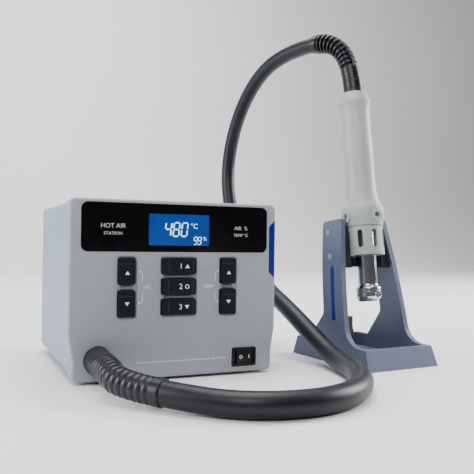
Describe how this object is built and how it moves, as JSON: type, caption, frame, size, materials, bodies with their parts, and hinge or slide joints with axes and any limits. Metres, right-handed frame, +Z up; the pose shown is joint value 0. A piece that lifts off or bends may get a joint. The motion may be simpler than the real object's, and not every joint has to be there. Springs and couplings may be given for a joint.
{
  "type": "hot air station",
  "caption": "Bench hot air station: desk unit with display, keys and rocker switch, an air hose, and a heater handset hanging in a separate holder stand.",
  "frame": {"origin": "middle of the footprint of desk unit and stand, on the table", "axes": "+X to the right seen from the front, +Y to the rear, front panel facing -Y, +Z up"},
  "size_m": [0.317, 0.363, 0.3151],
  "materials": {
    "bezel_plastic": "fine texture, light grey",
    "case_paint": "powder coat, light blue-grey",
    "window_gloss": "glossy black window",
    "lcd_blue": "backlit blue display",
    "key_rubber": "near-black, satin",
    "switch_black": "black moulded",
    "trim_blue": "royal blue film",
    "stand_slate": "slate blue moulded",
    "cradle_dark": "dark navy moulded",
    "peg_brown": "brown-grey",
    "grip_white": "white-grey moulded",
    "collar_grey": "grey-green moulded",
    "chrome": "polished",
    "hose_rubber": "dark navy, satin",
    "foot_rubber": "black",
    "screw_steel": "zinc plated",
    "steel": "plain steel",
    "aluminium": "extruded",
    "board_green": "solder mask",
    "component_black": "moulded components",
    "copper": "enamelled copper wire",
    "ceramic": "unglazed ceramic, heat proof",
    "white_plastic": "white moulded",
    "glass": "clear glass tube",
    "brass": "plated terminals"
  },
  "bodies": {
    "station": {"air_duct": "component_black", "blower_housing": "component_black", "blower_lid": "component_black", "blower_motor": "steel", "board_components": "component_black", "board_spacers": "white_plastic", "case_screws": "screw_steel", "chassis_tray": "case_paint", "control_board": "board_green", "display_board": "board_green", "display_window": "window_gloss", "edge_trim": "trim_blue", "front_bezel": "bezel_plastic", "fuse_cap": "switch_black", "fuse_holder": "switch_black", "glass_fuse": "glass", "heat_sink": "aluminium", "hose": "hose_rubber", "hose_boot_unit": "hose_rubber", "key_switches": "component_black", "lcd_module": "lcd_blue", "mains_inlet": "switch_black", "mains_terminals": "brass", "nozzle_peg": "peg_brown", "rear_panel": "case_paint", "rubber_feet": "foot_rubber", "stand_ballast": "steel", "stand_body": "stand_slate", "stand_cradle": "cradle_dark", "stand_feet": "foot_rubber", "stand_screws": "screw_steel", "stand_stripes": "trim_blue", "steel_cover": "case_paint", "switch_housing": "switch_black", "transformer_coil": "copper", "transformer_core": "steel", "triac": "component_black"},
    "handset": {"nozzle_clamp": "chrome", "clamp_screw": "screw_steel", "heater_barrel": "chrome", "heater_guard": "collar_grey", "handset_collar": "collar_grey", "collar_screws": "screw_steel", "grip_shell_left": "grip_white", "grip_shell_right": "grip_white", "grip_cap": "grip_white", "heater_core": "ceramic", "heating_wires": "steel", "thermocouple": "steel", "hose_boot_handset": "hose_rubber"},
    "impeller": {"blower_impeller": "component_black", "motor_shaft": "steel"},
    "rocker": {"switch_rocker": "switch_black"},
    "key_1_body": {"key_1": "key_rubber"},
    "key_2_body": {"key_2": "key_rubber"},
    "key_3_body": {"key_3": "key_rubber"},
    "key_air_down_body": {"key_air_down": "key_rubber"},
    "key_air_up_body": {"key_air_up": "key_rubber"},
    "key_temp_down_body": {"key_temp_down": "key_rubber"},
    "key_temp_up_body": {"key_temp_up": "key_rubber"}
  },
  "joints": [
    {"name": "handset_lift", "type": "slide", "parent": "station", "child": "handset", "axis": [-0.0118, 0.1352, 0.9907], "range_m": [0, 0.09], "deforming": ["hose"]},
    {"name": "power_rocker", "type": "hinge", "parent": "station", "child": "rocker", "pos_m": [-0.01848, -0.0685, 0.0144], "axis": [0, 0, 1], "range_deg": [-18, 0]},
    {"name": "blower_spin", "type": "hinge", "parent": "station", "child": "impeller", "pos_m": [-0.10448, 0.0475, 0.02], "axis": [0, 0, 1], "continuous": true},
    {"name": "key_1_press", "type": "slide", "parent": "station", "child": "key_1_body", "axis": [0, 1, 0], "range_m": [0, 0.0008], "stiffness_N_per_m": 600},
    {"name": "key_2_press", "type": "slide", "parent": "station", "child": "key_2_body", "axis": [0, 1, 0], "range_m": [0, 0.0008], "stiffness_N_per_m": 600},
    {"name": "key_3_press", "type": "slide", "parent": "station", "child": "key_3_body", "axis": [0, 1, 0], "range_m": [0, 0.0008], "stiffness_N_per_m": 600},
    {"name": "key_air_down_press", "type": "slide", "parent": "station", "child": "key_air_down_body", "axis": [0, 1, 0], "range_m": [0, 0.0008], "stiffness_N_per_m": 600},
    {"name": "key_air_up_press", "type": "slide", "parent": "station", "child": "key_air_up_body", "axis": [0, 1, 0], "range_m": [0, 0.0008], "stiffness_N_per_m": 600},
    {"name": "key_temp_down_press", "type": "slide", "parent": "station", "child": "key_temp_down_body", "axis": [0, 1, 0], "range_m": [0, 0.0008], "stiffness_N_per_m": 600},
    {"name": "key_temp_up_press", "type": "slide", "parent": "station", "child": "key_temp_up_body", "axis": [0, 1, 0], "range_m": [0, 0.0008], "stiffness_N_per_m": 600}
  ]
}
